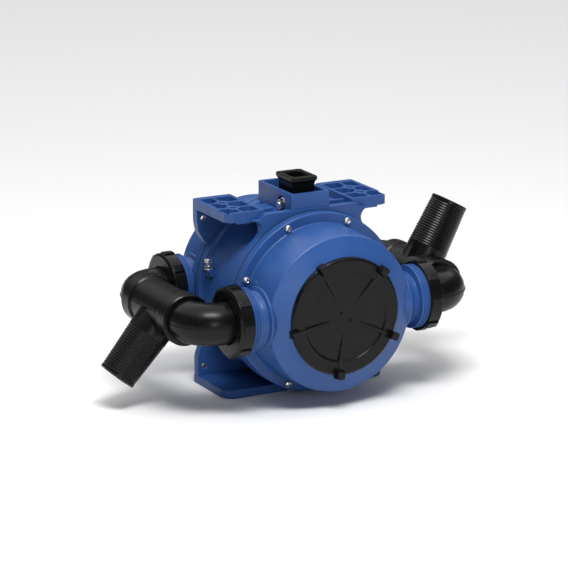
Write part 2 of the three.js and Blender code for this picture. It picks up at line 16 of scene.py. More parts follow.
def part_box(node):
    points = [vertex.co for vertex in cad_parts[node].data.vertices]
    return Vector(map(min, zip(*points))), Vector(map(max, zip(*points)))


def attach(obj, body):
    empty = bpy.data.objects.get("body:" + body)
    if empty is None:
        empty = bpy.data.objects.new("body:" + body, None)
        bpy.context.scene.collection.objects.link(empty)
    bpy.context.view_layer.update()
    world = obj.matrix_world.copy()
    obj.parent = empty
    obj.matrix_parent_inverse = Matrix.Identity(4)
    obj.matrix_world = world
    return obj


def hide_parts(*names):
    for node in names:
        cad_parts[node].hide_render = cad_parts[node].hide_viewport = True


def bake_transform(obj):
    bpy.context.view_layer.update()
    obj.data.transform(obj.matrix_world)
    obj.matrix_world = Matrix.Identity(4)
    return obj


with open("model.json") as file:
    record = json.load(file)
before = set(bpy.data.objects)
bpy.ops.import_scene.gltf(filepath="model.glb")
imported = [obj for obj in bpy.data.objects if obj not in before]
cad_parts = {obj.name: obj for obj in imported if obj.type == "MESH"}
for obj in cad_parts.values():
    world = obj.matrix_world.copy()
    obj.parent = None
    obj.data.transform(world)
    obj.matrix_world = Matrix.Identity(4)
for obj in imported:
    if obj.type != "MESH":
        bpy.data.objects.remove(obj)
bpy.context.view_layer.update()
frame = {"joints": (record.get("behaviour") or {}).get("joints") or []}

MM = 0.001  # metres in a millimetre
JOINTS = {joint["name"]: joint for joint in frame["joints"]}
ENDS = {"front": -1, "rear": 1}  # name and side in Y
PORTS = {"front_right": (1, -1), "front_left": (-1, -1), "rear_left": (-1, 1), "rear_right": (1, 1)}


def joint_at(name):
    """A joint's place, in millimetres."""
    return Vector(JOINTS[name]["pos_m"]) / MM


def box(node):
    """The lowest and highest corners of a CAD node, in millimetres."""
    low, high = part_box(node)
    return low / MM, high / MM


# ---------------------------------------------------------------- camera
# The photograph's view: azimuth and elevation in degrees, distances in millimetres.
VIEW_AZIMUTH = -27.97
VIEW_ELEVATION = 15.29
VIEW_DISTANCE = 3885.7
VIEW_TARGET = Vector((-14.2, 0, 138.0))
LENS = 182.5


def make_camera():
    data = bpy.data.cameras.new("camera")
    data.lens = LENS
    data.sensor_width = 36
    data.clip_end = 50
    camera = bpy.data.objects.new("camera", data)
    bpy.context.scene.collection.objects.link(camera)
    a = radians(VIEW_AZIMUTH)
    e = radians(VIEW_ELEVATION)
    back = Vector((sin(a) * cos(e), -cos(a) * cos(e), sin(e)))
    camera.location = (VIEW_TARGET + back * VIEW_DISTANCE) * MM
    camera.rotation_euler = (-back).to_track_quat("-Z", "Y").to_euler()
    bpy.context.scene.camera = camera


make_camera()

# ---------------------------------------------------------------- fineness
ROUND = 144  # sides of the drum, the chambers and the lids
TUBE = 120  # sides of a port, a union nut and a cross-tube
SHEET = 96  # sides of a hose tail and of the rubber
PIPE = 72  # sides of an elbow and of the bores
HUB = 64  # sides of a hub and of a valve flap
BOLT = 48  # sides of the larger fasteners and of their cones
HOLE = 40  # sides of a mounting hole and of a pin
SCREW = 32  # sides of a screw
CLEARANCE = 16  # sides of a screw's clearance hole
ARC_STEP = radians(15)  # turn of one step along a rounded corner
BEND_STEPS = 24  # steps round an elbow
SMOOTH_ANGLE = radians(32)  # edges that turn more than this are shaded sharp

# ---------------------------------------------------------------- sizes in millimetres
GAP = 0.3  # between pieces that touch

AXIS_Z = joint_at("front_lid_turn").z
PORT_Y = joint_at("rear_left_nut_turn").y
TEE_X = joint_at("outlet_tee_swivel").x
PIVOT = joint_at("lever_rock")

# Housing. A depth is a distance from the middle of the pump, along Y.
HOUSING_HIGH = box("housing")[1]
HOUSING_HALF = -box("housing")[0].y
PLATE_T = 11.7
DRUM_R = 117
DRUM_BORE_R = 109
OPENING_R = 100
TOP_Z = 256.5
BASE_T = 11
BASE_HALF = 121.8
BASE_FRONT = -37
FOOT_GAP = 48  # half the width of the gap in the foot, behind the drum
WEB_HALF = 121.2
WEB_Y = (47, HOUSING_HIGH.y)
WEB_HOLE_X = 111
WEB_HOLE_Z = (24, 230)

# Pads
PAD_Z = 243
PAD_X = (66, 121.2)
PAD_Y = (-42, HOUSING_HIGH.y)
PAD_RIM = 4.5
PAD_RIB = 1.7  # half a rib's width
PAD_FLOOR = 247.5
RING_X = 97
RING_R = 9.5
RIB_Y = (-11, 20)
LOW_RIM_Y = -18  # the outer rim of a pad is lower from here to its front corner
LOW_RIM_DROP = 1.8

# Ledges on the flanks, and the tower
LEDGE_X = (107, 121)
LEDGE_Y = (14, 30)
LEDGE_TOP = 166
LEDGE_BOLT = Vector((116.5, 22, LEDGE_TOP + GAP))
TOWER_HALF = 28.6
TOWER_Y = (-49, 48)
TOWER_TOP = HOUSING_HIGH.z
TOWER_WALL = 4.6
TOWER_IN = TOWER_HALF - TOWER_WALL
BOSS_R = 13
RECESS_R = 11.5

# Chambers: depths are distances from the middle of the pump
FLANGE_IN = -box("front_chamber")[1].y
FLANGE_R = box("front_chamber")[1].z - AXIS_Z
FLANGE_FACE = 68
SCREW_COUNT = 8  # in each flange
SCREW_CIRCLE_R = 115.5
SCREW_HOLE_R = 3.2
CHAMBER_RIM = 133
MOUTH_FACE = 142.5
MOUTH_R = 68

# Lids
LID_R = 79.5
LID_FACE = 147.5
LUG_TOP = -box("front_lid")[0].y
LUG_ANGLES = [radians(72 * k - 98) for k in range(5)]  # from +X towards +Z, seen from the front
LID_RIB = (  # radius, half width, height over the face of the rim
    (24, 1.2, -2.1), (34, 1.8, -1.0), (62, 2.4, 0.7), (73, 2.6, 1.0),
)
SEAL_R = (69, 73.5)
SEAL_D = (MOUTH_FACE + 0.3, MOUTH_FACE + 1.9)

# Ports and pipes: depths are distances from the middle of the pump, along X
PORT_R = 34
PORT_END = 143
SADDLE_R = 42
THREAD_R = 43
THREAD_ROOT_R = 41.4
THREAD_PITCH = 3.6
THREAD_START = 122.4
THREAD_TURNS = 5
SEAT_X = (106, 110)
UNION_R = 46.6
UNION_X = (132, 151.5)
ELBOW_START = PORT_END + 2.2
ELBOW_R = 28.3
ELBOW_BORE_R = 23.5
BEND_R = 30
TEE_HALF = box("outlet_tee")[1].y
COLLAR_R = 34.6
COLLAR_IN = 44
CROSS_R = 32
TAIL_R = 25.8
TAIL_ROOT_R = 28.5
TAIL_BORE_R = 20.5
TAIL_END = 111
BARBS = 18
BARB_START = 44
BARB_PITCH = 3.6
INLET_ANGLE = -JOINTS["inlet_tee_swivel"]["range_deg"][0]
OUTLET_ANGLE = -JOINTS["outlet_tee_swivel"]["range_deg"][0]

# Lever, rod and diaphragms
PIN_R = 4
SOCKET_Y = (box("lever_socket")[0].y + box("lever_socket")[1].y) / 2
SOCKET_SHAPE = (  # half width, half length, height over the fulcrum, corner radius
    (14.6, 19.6, -11, 3), (15.5, 20.5, -9.5, 3), (16.5, 21.5, 20, 3), (16.8, 21.9, 26, 3),
    (17.6, 23.0, 29.4, 3.4), (18.8, 24.9, 31.2, 4), (19.3, 25.6, 32.2, 4), (19.3, 25.6, 35.4, 4),
    (18.9, 25.2, 36.4, 4), (18.2, 24.5, 36.8, 3.6),
)
SOCKET_MOUTH = (
    (11.5, 15.5, 12, 1.5), (11.5, 15.5, 33.5, 1.5), (12.2, 16.2, 35.8, 1.8), (13.4, 17.4, 37.0, 2.2),
    (13.4, 17.4, 39.0, 2.2),
)
STUD_R = 5
PLATE_R = 60
PLATE_RISE = 4.7
RUBBER_T = 2.4
SECTORS = 8  # of the rolling part of a diaphragm
SECTOR_STEPS = SHEET // SECTORS
ROLL_R = (62, 98)
ROLL_DEPTH = 13
ROLL_STEPS = 14


# ---------------------------------------------------------------- frames and outlines
def frame_of(direction, at=(0, 0, 0)):
    """Matrix that takes local Z to direction and the local origin to at."""
    turn = Vector((0, 0, 1)).rotation_difference(Vector(direction)).to_matrix().to_4x4()
    return Matrix.Translation(at) @ turn


def lid_axis(side):
    """Local Z runs along the axis of the lids, outwards on one side in Y."""
    return frame_of((0, side, 0), (0, 0, AXIS_Z))


def port_axis(x, y):
    """Local Z runs outwards along a port, which is on one side in X and one side in Y."""
    return frame_of((x, 0, 0), (0, y * PORT_Y, AXIS_Z))


FULCRUM = frame_of((1, 0, 0), PIVOT)
MIRROR = Matrix.Diagonal((-1, 1, 1, 1))


def around(count, first=0.0):
    """Angles of count points spread evenly round a circle."""
    return [first + 2 * pi * k / count for k in range(count)]


def circle(radius, count=PIPE):
    return [(radius * cos(a), radius * sin(a)) for a in around(count)]


def rectangle(x, y, corner):
    """Corners of a rectangle with rounded corners."""
    return [(x[0], y[0], corner), (x[1], y[0], corner), (x[1], y[1], corner), (x[0], y[1], corner)]


def symmetric(half):
    """An outline from its right half, which runs from the middle line round to the middle line."""
    return half + [(-a, b, *rest) for a, b, *rest in reversed(half)]


def rounded(corners):
    """Points of a closed outline. A corner is (a, b), or (a, b, radius) where it is rounded."""
    points = []
    for i, corner in enumerate(corners):
        here = Vector(corner[:2])
        back = Vector(corners[i - 1][:2]) - here
        ahead = Vector(corners[(i + 1) % len(corners)][:2]) - here
        half = back.angle(ahead) / 2
        if len(corner) < 3 or half > radians(89):
            points.append(here)
            continue
        reach = min(corner[2] / tan(half), 0.48 * back.length, 0.48 * ahead.length)
        centre = here + (back.normalized() + ahead.normalized()).normalized() * reach / cos(half)
        start = here + back.normalized() * reach - centre
        end = here + ahead.normalized() * reach - centre
        turn = start.angle_signed(end)
        steps = max(2, ceil(abs(turn) / ARC_STEP))
        for k in range(steps + 1):
            points.append(centre + Matrix.Rotation(-turn * k / steps, 2) @ start)
    return points


def level(corners, z):
    """A rounded outline as a loop of points at one height."""
    return [(*point, z) for point in rounded(corners)]


# ---------------------------------------------------------------- solids
def solid(mesh, where=None):
    """A loose object from a bmesh, with its faces pointing out."""
    bmesh.ops.recalc_face_normals(mesh, faces=mesh.faces)
    if where is not None:
        mesh.transform(where)
        if where.determinant() < 0:
            bmesh.ops.reverse_faces(mesh, faces=mesh.faces)
    data = bpy.data.meshes.new("solid")
    mesh.to_mesh(data)
    mesh.free()
    return bpy.data.objects.new("solid", data)


def ease(mesh, edges, radius):
    """Rounds some edges of a bmesh."""
    bmesh.ops.bevel(mesh, geom=edges, offset=radius, segments=3, profile=0.5, affect="EDGES")


def turned(outline, where=None, sides=ROUND):
    """(radius, height) corners turned about local Z."""
    mesh = bmesh.new()
    rings = []
    for r, h in rounded(outline):
        if r < 1e-6:
            rings.append([mesh.verts.new((0, 0, h))])
            continue
        rings.append([mesh.verts.new((x, y, h)) for x, y in circle(r, sides)])
    for i, ring in enumerate(rings):
        other = rings[(i + 1) % len(rings)]
        for k in range(sides):
            n = (k + 1) % sides
            corners = [ring[k % len(ring)], ring[n % len(ring)], other[n % len(other)], other[k % len(other)]]
            face = list(dict.fromkeys(corners))
            if len(face) > 2:
                mesh.faces.new(face)
    return solid(mesh, where)


def loft_mesh(sections):
    """Closed bmesh through loops of points, all with the same number of points, and its two end faces."""
    mesh = bmesh.new()
    loops = [[mesh.verts.new(point) for point in section] for section in sections]
    for lower, upper in zip(loops, loops[1:]):
        for k in range(len(lower)):
            n = (k + 1) % len(lower)
            mesh.faces.new((lower[k], lower[n], upper[n], upper[k]))
    return mesh, [mesh.faces.new(loops[0][::-1]), mesh.faces.new(loops[-1])]


def loft(sections, where=None):
    """A closed solid through loops of points, all with the same number of points."""
    mesh, _ = loft_mesh(sections)
    return solid(mesh, where)


def prism(outline, z, edge=0.0, where=None):
    """An outline in local X and Y, extruded from z[0] to z[1], with rounded rims."""
    mesh, caps = loft_mesh([level(outline, height) for height in z])
    if edge:
        ease(mesh, [e for cap in caps for e in cap.edges], edge)
    return solid(mesh, where)


def wall(outline, y, edge=0.0):
    """An outline in X and Z, extruded from y[0] to y[1]."""
    upright = Matrix(((1, 0, 0, 0), (0, 0, 1, 0), (0, 1, 0, 0), (0, 0, 0, 1)))
    return prism(outline, y, edge, upright)


def block(x, y, z, edge, where=None):
    """A box from corner to corner with rounded edges."""
    mesh = bmesh.new()
    bmesh.ops.create_cube(mesh, size=1)
    size = [abs(b - a) for a, b in (x, y, z)]
    middle = [(a + b) / 2 for a, b in (x, y, z)]
    mesh.transform(Matrix.Translation(middle) @ Matrix.Diagonal((*size, 1)))
    if edge:
        ease(mesh, mesh.edges[:], min(edge, min(size) * 0.45))
    return solid(mesh, where)


def rod(radius, z0, z1, where=None, sides=SCREW, edge=0.0):
    """A round bar along local Z."""
    corner = (edge,) if edge else ()
    return turned([(0, z0), (radius, z0, *corner), (radius, z1, *corner), (0, z1)], where, sides)


def moved(made, where):
    """The same solid, moved, turned or mirrored."""
    made.data.transform(where)
    if where.determinant() < 0:
        made.data.flip_normals()
    return made


def copied(made):
    """Another loose solid with the same shape."""
    return bpy.data.objects.new("solid", made.data.copy())


def both_sides(made):
    """A solid and its mirror image on the other side of the pump."""
    return [made, moved(copied(made), MIRROR)]


def combine(body, tools, operation):
    """The body with every tool joined to it or cut from it."""
    scene = bpy.context.scene
    group = bpy.data.collections.new("tools")
    scene.collection.children.link(group)
    scene.collection.objects.link(body)
    for tool in tools:
        group.objects.link(tool)
    modifier = body.modifiers.new("combine", "BOOLEAN")
    modifier.operation = operation
    modifier.operand_type = "COLLECTION"
    modifier.collection = group
    modifier.solver = "MANIFOLD"
    evaluated = body.evaluated_get(bpy.context.evaluated_depsgraph_get())
    data = bpy.data.meshes.new_from_object(evaluated)
    made = bpy.data.objects.new("solid", data)
    for used in [body, *tools]:
        bpy.data.objects.remove(used)
    bpy.data.collections.remove(group)
    return made


def join(*solids):
    return combine(solids[0], solids[1:], "UNION")


def cut(body, *tools):
    return combine(body, tools, "DIFFERENCE")


def add(name, made, material, *nodes):
    """Puts a finished solid into the scene, in place of CAD nodes."""
    made.data.transform(Matrix.Scale(MM, 4))
    made.name = name
    made.data.name = name
    made.data.shade_smooth()
    made.data.set_sharp_from_angle(angle=SMOOTH_ANGLE)
    made.data.materials.clear()
    made.data.materials.append(material)
    normals = made.modifiers.new("weighted_normals", "WEIGHTED_NORMAL")
    normals.keep_sharp = True
    bpy.context.scene.collection.objects.link(made)
    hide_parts(*nodes)
    return made


def place(name, made, body, material, *nodes):
    """Puts a finished solid into the scene, riding on a CAD body, in place of CAD nodes."""
    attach(add(name, made, material, *nodes), body)


# ---------------------------------------------------------------- materials
class Finish:
    """A Principled material whose surface pattern follows the piece's own coordinates, in metres."""

    def __init__(self, name, slot, color, roughness, metallic=0.0, specular=0.5):
        self.material = bpy.data.materials.new(name)
        self.material["slot"] = slot
        self.material.use_nodes = True
        self.tree = self.material.node_tree
        self.shader = self.tree.nodes["Principled BSDF"]
        self.shader.inputs["Metallic"].default_value = metallic
        self.shader.inputs["Specular IOR Level"].default_value = specular
        self.place = self.tree.nodes.new("ShaderNodeTexCoord").outputs["Object"]
        self.normal = None
        self.tint(color)
        self.vary_roughness(roughness)

    def noise(self, scale, detail, stretch=(1, 1, 1)):
        """Noise with scale cells to the metre."""
        mapping = self.tree.nodes.new("ShaderNodeMapping")
        mapping.inputs["Scale"].default_value = stretch
        texture = self.tree.nodes.new("ShaderNodeTexNoise")
        texture.inputs["Scale"].default_value = scale
        texture.inputs["Detail"].default_value = detail
        self.tree.links.new(self.place, mapping.inputs["Vector"])
        self.tree.links.new(mapping.outputs["Vector"], texture.inputs["Vector"])
        return texture.outputs["Fac"]

    def tint(self, color, amount=0.10, scale=18.0):
        """Base colour that drifts slightly in brightness over the piece."""
        ramp = self.tree.nodes.new("ShaderNodeValToRGB")
        ramp.color_ramp.elements[0].position = 0.3
        ramp.color_ramp.elements[1].position = 0.7
        ramp.color_ramp.elements[0].color = (*[c * (1 - amount) for c in color], 1)
        ramp.color_ramp.elements[1].color = (*[c * (1 + amount) for c in color], 1)
        self.tree.links.new(self.noise(scale, 5), ramp.inputs["Fac"])
        self.tree.links.new(ramp.outputs["Color"], self.shader.inputs["Base Color"])

    def vary_roughness(self, limits, scale=70.0):
        """Roughness that drifts between two limits over the piece."""
        spread = self.tree.nodes.new("ShaderNodeMapRange")
        values = {"From Min": 0.35, "From Max": 0.65, "To Min": limits[0], "To Max": limits[1]}
        for socket, value in values.items():
            spread.inputs[socket].default_value = value
        self.tree.links.new(self.noise(scale, 4), spread.inputs["Value"])
        self.tree.links.new(spread.outputs["Result"], self.shader.inputs["Roughness"])

    def bump(self, height, distance, strength):
        """Adds relief of a depth in metres on top of any before it."""
        node = self.tree.nodes.new("ShaderNodeBump")
        node.inputs["Strength"].default_value = strength
        node.inputs["Distance"].default_value = distance
        self.tree.links.new(height, node.inputs["Height"])
        if self.normal:
            self.tree.links.new(self.normal, node.inputs["Normal"])
        self.normal = node.outputs["Normal"]
        self.tree.links.new(self.normal, self.shader.inputs["Normal"])


def moulded_blue():
    """Glass-filled moulded plastic: satin, with a fine grain and broad, shallow sink marks."""
    finish = Finish("moulded_blue", "blue_body", (0.022, 0.076, 0.255), (0.32, 0.42), specular=0.35)
    finish.bump(finish.noise(24, 2), 0.0006, 0.35)
    finish.bump(finish.noise(1400, 2), 0.00003, 0.6)
    return finish.material


def moulded_black():
    """Glossy moulded plastic with flow marks and a faint grain."""
    finish = Finish("moulded_black", "black_fitting", (0.003, 0.0032, 0.003), (0.26, 0.34), specular=0.2)
    finish.bump(finish.noise(30, 2, (1, 1, 2.5)), 0.0006, 0.3)
    finish.bump(finish.noise(900, 3), 0.00001, 0.4)
    return finish.material


def seal_rubber():
    """Dull black rubber with a fine grain."""
    finish = Finish("seal_rubber", "rubber", (0.014, 0.014, 0.0135), (0.62, 0.82))
    finish.bump(finish.noise(500, 4), 0.00008, 0.7)
    return finish.material


def bright_steel():
    """Zinc-plated steel with fine turning marks."""
    finish = Finish("bright_steel", "steel", (0.72, 0.71, 0.68), (0.16, 0.34), metallic=1.0)
    finish.bump(finish.noise(1200, 2, (1, 6, 1)), 0.00002, 0.5)
    return finish.material


def cast_aluminium():
    """Sand-cast metal, dull and slightly pitted."""
    finish = Finish("cast_aluminium", "cast_aluminium", (0.50, 0.51, 0.53), (0.38, 0.58), metallic=1.0)
    finish.bump(finish.noise(260, 5), 0.00012, 0.8)
    return finish.material


BLUE = moulded_blue()
BLACK = moulded_black()
RUBBER = seal_rubber()
STEEL = bright_steel()
ALUMINIUM = cast_aluminium()


# ---------------------------------------------------------------- housing
def drum():
    """Ring between the two clamping plates, with a small root radius behind each plate."""
    half = HOUSING_HALF
    inner = half - PLATE_T
    return turned([
        (OPENING_R, -half, 1),
        (FLANGE_R, -half, 1.2),
        (FLANGE_R, -inner, 1.2),
        (DRUM_R, -inner, 3),
        (DRUM_R, inner, 3),
        (FLANGE_R, inner, 1.2),
        (FLANGE_R, half, 1.2),
        (OPENING_R, half, 1),
        (OPENING_R, inner),
        (DRUM_BORE_R, inner, 4),
        (DRUM_BORE_R, -inner, 4),
        (OPENING_R, -inner),
    ], lid_axis(1))


def neck():
    """Front wall above the drum, narrowed below the pads by a round hollow on each side."""
    x, z, r = 88, 232, 13  # middle and radius of the hollow
    hollow = [(x - r * cos(a), z + r * sin(a)) for a in [radians(9 * k - 45) for k in range(16)]]
    outline = symmetric([(x, 205), *hollow, (75, z + r), (68, 252, 1.5)])
    return wall(outline, (-HOUSING_HALF, PLATE_T - HOUSING_HALF), 1.0)


def web():
    """Rear mounting plate: wide at the feet and under the pads, with a step down behind the tower."""
    return wall(symmetric([
        (WEB_HALF, 0),
        (WEB_HALF, 38, 12),
        (116, 52, 12),
        (99.5, 71, 12),
        (99.5, 183, 12),
        (109, 197, 20),
        (118.8, 212, 14),
        (WEB_HALF, 226, 14),
        (WEB_HALF, TOP_Z, 1.2),
        (PAD_X[0], TOP_Z, 2),
        (PAD_X[0], 236),
    ]), WEB_Y, 1.0)


def foot():
    """Base plate, widely rounded at its two front corners."""
    return prism([
        (-BASE_HALF, BASE_FRONT, 16),
        (BASE_HALF, BASE_FRONT, 16),
        (BASE_HALF, HOUSING_HIGH.y, 1),
        (-BASE_HALF, HOUSING_HIGH.y, 1),
    ], (0, BASE_T), 1.4)


def pocket(x, y, z, corner=1.8):
    """Cutter for a moulded pocket: rounded corners, a drafted wall and an eased top edge."""
    def section(grow, height):
        return level(rectangle((x[0] - grow, x[1] + grow), (y[0] - grow, y[1] + grow), corner), height)

    return loft([
        section(-1.2, z[0]),
        section(-0.5, z[0] + 0.7),
        section(0, z[1] - 0.6),
        section(0.5, z[1]),
        section(0.5, z[1] + 2),
    ])


def pad_tray():
    """Shallow tray of six pockets, with a long rib and two cross ribs between them."""
    x, y = PAD_X, PAD_Y
    tray = prism([(x[0], y[0]), (x[1], y[0], 9), (x[1], y[1], 1), (x[0], y[1], 1)], (PAD_Z, TOP_Z), 0.9)
    columns = [(x[0] + PAD_RIM, RING_X - PAD_RIB), (RING_X + PAD_RIB, x[1] - PAD_RIM)]
    lines = [y[0] + PAD_RIM - PAD_RIB, *RIB_Y, y[1] - PAD_RIM + PAD_RIB]
    rows = [(a + PAD_RIB, b - PAD_RIB) for a, b in zip(lines, lines[1:])]
    return cut(tray, *[pocket(column, row, (PAD_FLOOR, TOP_Z)) for column in columns for row in rows])


def pad():
    """Mounting pad: its tray, a wing below its front edge, and a ringed hole where ribs meet."""
    x, y = PAD_X, PAD_Y
    wing = block((75, 106), (y[0], y[0] + 5), (240.5, PAD_Z + 1), 0.9)
    low_rim = block((x[1] - PAD_RIM, x[1] + 1), (y[0] - 1, LOW_RIM_Y), (TOP_Z - LOW_RIM_DROP, TOP_Z + 1), 0)
    crossings = [Matrix.Translation((RING_X, line, 0)) for line in RIB_Y]
    rings = [rod(RING_R, PAD_FLOOR - 1, TOP_Z, at, BOLT, 0.8) for at in crossings]
    hole = [(0, PAD_Z - 1), (4.5, PAD_Z - 1), (4.5, TOP_Z - 0.8), (5.6, TOP_Z + 0.3), (0, TOP_Z + 0.3)]
    holes = [turned(hole, at, HOLE) for at in crossings]
    return cut(join(pad_tray(), wing, *rings), *holes, low_rim)


def ledge():
    """Small shelf on the right flank, which carries a bolt."""
    inner, outer = LEDGE_X
    top = LEDGE_TOP
    return wall([
        (inner, top),
        (outer, top, 0.8),
        (outer, top - 2.5, 0.8),
        (outer - 5, top - 9, 2),
        (inner, top - 11),
    ], LEDGE_Y, 0.5)


def tower():
    """Block round the lever, before it is hollowed."""
    return prism(rectangle((-TOWER_HALF, TOWER_HALF), TOWER_Y, 2), (236, TOWER_TOP), 0.8)


def tower_well():
    """Cutter for the open inside of the tower."""
    y = (TOWER_Y[0] + TOWER_WALL, TOWER_Y[1] - TOWER_WALL)
    return pocket((-TOWER_IN, TOWER_IN), y, (215, TOWER_TOP), 2.5)


def fulcrum_bosses():
    """Bosses inside the tower's walls, which stand on webs and carry the fulcrum pin."""
    boss = join(
        rod(BOSS_R, 20, TOWER_IN + 1, FULCRUM, HUB, 0.6),
        block((20, TOWER_IN + 1), (PIVOT.y - BOSS_R, PIVOT.y + BOSS_R), (238, PIVOT.z), 0.4),
    )
    return both_sides(boss)


def fulcrum_recesses():
    """Cutters for the arched recesses outside the tower, round the ends of the fulcrum pin."""
    r, rim = RECESS_R, TOWER_HALF + 0.4
    arch = turned([(0, TOWER_IN), (r, TOWER_IN, 1), (r, rim - 1), (r + 1, rim), (0, rim)], FULCRUM, HUB)
    lower = block((TOWER_IN, TOWER_HALF + 1), (PIVOT.y - r, PIVOT.y + r), (248, PIVOT.z), 0)
    return both_sides(arch) + both_sides(lower)


def shelves():
    """Shelf between the tower and each pad, with its two ribs and the corner that meets the pad."""
    inner, outer = TOWER_HALF - 1, PAD_X[0]
    front = -HOUSING_HALF
    made = [
        block((inner, outer + 1), (front, 30), (238, 246), 0.6),
        block((41, outer + 1), (PIVOT.y - 2, PIVOT.y + 2), (240, 252), 0.9),
        block((inner, outer), (front, -46), (240, 252), 0.9),
        block((outer - 0.5, outer + 4), (PAD_Y[0] - 6, PAD_Y[0] + 2), (PAD_Z, 250), 0.6),
    ]
    return [piece for part in made for piece in both_sides(part)]


def screw_holes(side, near, far):
    """Cutters for the screws of one flange, between two depths."""
    holes = []
    for a in around(SCREW_COUNT, pi / SCREW_COUNT):
        at = (SCREW_CIRCLE_R * cos(a), 0, AXIS_Z + SCREW_CIRCLE_R * sin(a))
        holes.append(rod(SCREW_HOLE_R, near, far, frame_of((0, side, 0), at), CLEARANCE))
    return holes


def web_holes():
    """Cutters for the holes in the rear plate, which are eased on both of its faces."""
    front, back = WEB_Y
    outline = [
        (0, front - 7), (5, front - 7), (5, front - 0.2), (4, front + 0.8),
        (4, back - 0.8), (5, back + 0.2), (5, 65), (0, 65),
    ]
    holes = []
    for z in WEB_HOLE_Z:
        holes += both_sides(turned(outline, frame_of((0, 1, 0), (WEB_HOLE_X, 0, z)), HOLE))
    return holes


def housing():
    """Drum, walls, foot, tower, pads and ledges as one moulding."""
    face = HOUSING_HALF
    walls = cut(join(neck(), web()), rod(DRUM_BORE_R - 2, -face - 1, 62, lid_axis(1), ROUND))
    body = join(drum(), walls, tower(), foot(), *both_sides(pad()), *both_sides(ledge()), *shelves())
    body = join(cut(body, tower_well()), *fulcrum_bosses())
    holes = [
        rod(PIN_R + GAP, -40, 40, FULCRUM),
        rod(FLANGE_R + 0.8, face, 70, lid_axis(1), ROUND),
        block((-FOOT_GAP, FOOT_GAP), (face, 62), (-1, BASE_T + 1), 0),
        *both_sides(rod(3.3, -14.3, 0.7, Matrix.Translation(LEDGE_BOLT))),
        *fulcrum_recesses(),
        *web_holes(),
    ]
    for side in ENDS.values():
        holes += screw_holes(side, 38, face + 1)
    return cut(body, *holes)


place("housing_fine", housing(), "pump_body", BLUE, "housing")


# ---------------------------------------------------------------- chambers
def port(x, y):
    """Round port: a thin raised ring where it leaves the wall, a neck and a threaded end."""
    outline = [
        (0, 86),
        (31, 86),
        (SADDLE_R, 102.8, 1.2),
        (SADDLE_R, 105.4, 1.2),
        (37, 107.4, 1.5),
        (PORT_R, 112.5, 5),
        (PORT_R, 119.2, 1.2),
        (THREAD_R, 120.4, 0.8),
    ]
    for k in range(THREAD_TURNS):
        h = THREAD_START + THREAD_PITCH * k
        outline += [
            (THREAD_R, h, 0.2),
            (THREAD_ROOT_R, h + 1.0, 0.2),
            (THREAD_ROOT_R, h + 1.5, 0.2),
            (THREAD_R, h + 2.5, 0.2),
        ]
    outline += [(THREAD_R, PORT_END - 1.2), (THREAD_R - 1.2, PORT_END), (0, PORT_END)]
    return turned(outline, port_axis(x, y), TUBE)


def port_bores(x, y):
    """Cutters for a port: its way in, the narrower valve seat, and its way out."""
    along = port_axis(x, y)
    return [
        rod(29, 78, SEAT_X[0], along, PIPE),
        rod(19, 90, 120, along, PIPE),
        rod(28, SEAT_X[1], PORT_END + 1, along, PIPE),
    ]


def parting_bead():
    """Thin line left by the mould across the wall and the sloping front of the chamber, on the axis plane."""
    rim = CHAMBER_RIM
    return prism([
        (-106.9, -118),
        (-106.4, -rim + 4.2, 4),
        (-101.4, -rim - 0.5, 2),
        (-84, -rim - 8.3),
        (-84, -rim - 6),
        (-98, -rim + 2),
        (-104, -118),
    ], (AXIS_Z - 0.4, AXIS_Z + 0.4), 0.2)


def chamber(side):
    """Chamber with a flange, a sloping front round its mouth, and two ports."""
    shell = turned([
        (OPENING_R, FLANGE_IN, 1),
        (FLANGE_R, FLANGE_IN, 0.8),
        (FLANGE_R, FLANGE_FACE, 1.6),
        (108.5, FLANGE_FACE, 2.6),
        (106.2, CHAMBER_RIM - 1.6, 5),
        (101.0, CHAMBER_RIM + 0.2, 2.5),
        (LID_R + 1.2, MOUTH_FACE, 1),
        (MOUTH_R, MOUTH_FACE, 0.6),
        (MOUTH_R, CHAMBER_RIM - 4, 2),
        (98.5, CHAMBER_RIM - 11, 6),
    ], lid_axis(side))
    body = join(shell, port(-1, side), port(1, side))
    bead = moved(parting_bead(), Matrix.Rotation(pi if side > 0 else 0, 4, "Z"))
    return cut(join(body, bead), *port_bores(-1, side), *port_bores(1, side), *screw_holes(side, 50, 75))


def lid_rib(out):
    """Tapered rib from the sunk centre up to the rim."""
    floor = LID_FACE - 3
    sections = []
    for r, half, rise in LID_RIB:
        top = LID_FACE + rise
        sections.append([
            (r, -half - 0.4, floor), (r, half + 0.4, floor), (r, half, top - 0.5),
            (r, half * 0.5, top), (r, -half * 0.5, top), (r, -half, top - 0.5),
        ])
    return loft(sections, out)


def lid_lug(out):
    """Tall grip lug on the rim, narrower at its top, and the foot that it stands on."""
    def section(r0, r1, half, d):
        return level([(r0, -half, 1.4), (r1, -half, 1.8), (r1, half, 1.8), (r0, half, 1.4)], d)

    tall = loft([
        section(71, 84, 5.5, LID_FACE - 2),
        section(71.8, 83.6, 5.3, LUG_TOP - 1.5),
        section(72.4, 83.0, 4.7, LUG_TOP - 0.4),
        section(73.4, 82.0, 3.8, LUG_TOP),
    ], out)
    return [tall, block((75, 84), (-5.5, 5.5), (MOUTH_FACE + 1, LID_FACE), 1.2, out)]


